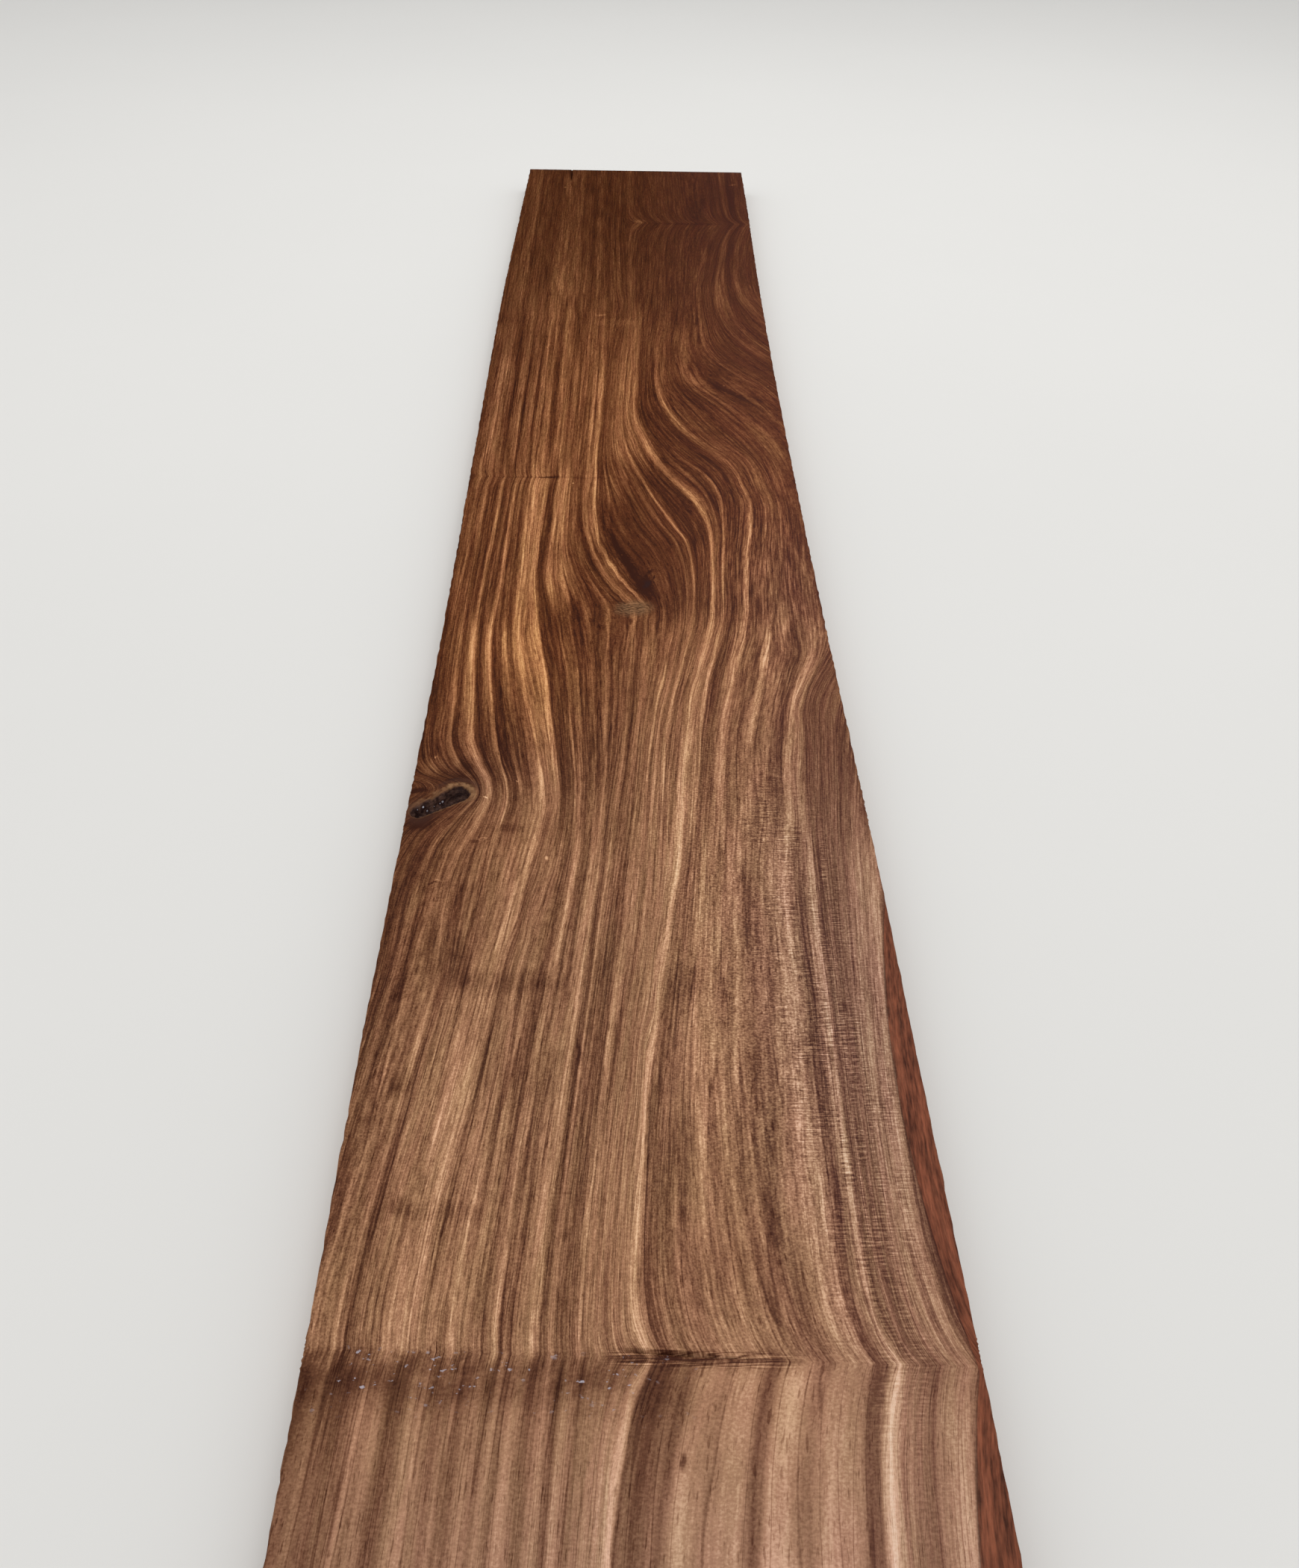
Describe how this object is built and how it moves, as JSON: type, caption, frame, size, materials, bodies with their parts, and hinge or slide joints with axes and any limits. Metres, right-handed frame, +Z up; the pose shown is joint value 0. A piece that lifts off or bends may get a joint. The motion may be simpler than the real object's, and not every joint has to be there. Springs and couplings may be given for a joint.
{
  "type": "timber lumber plank",
  "caption": "Long flat sawn hardwood plank with one planed face, ripped edges, square-cut ends, a knot hole, a bark seam and a rolled-off edge; raw stock for joinery.",
  "frame": {"origin": "middle of the plank's box, at its underside", "axes": "+Y along the length towards the flared far end, +X across the width towards the rolled-off edge, +Z up out of the planed face"},
  "size_m": [0.2606, 1.8, 0.025],
  "materials": {
    "walnut": "planed face, raw, satin; rough-sawn edges"
  },
  "bodies": {
    "root": {"plank": "walnut"}
  },
  "joints": []
}
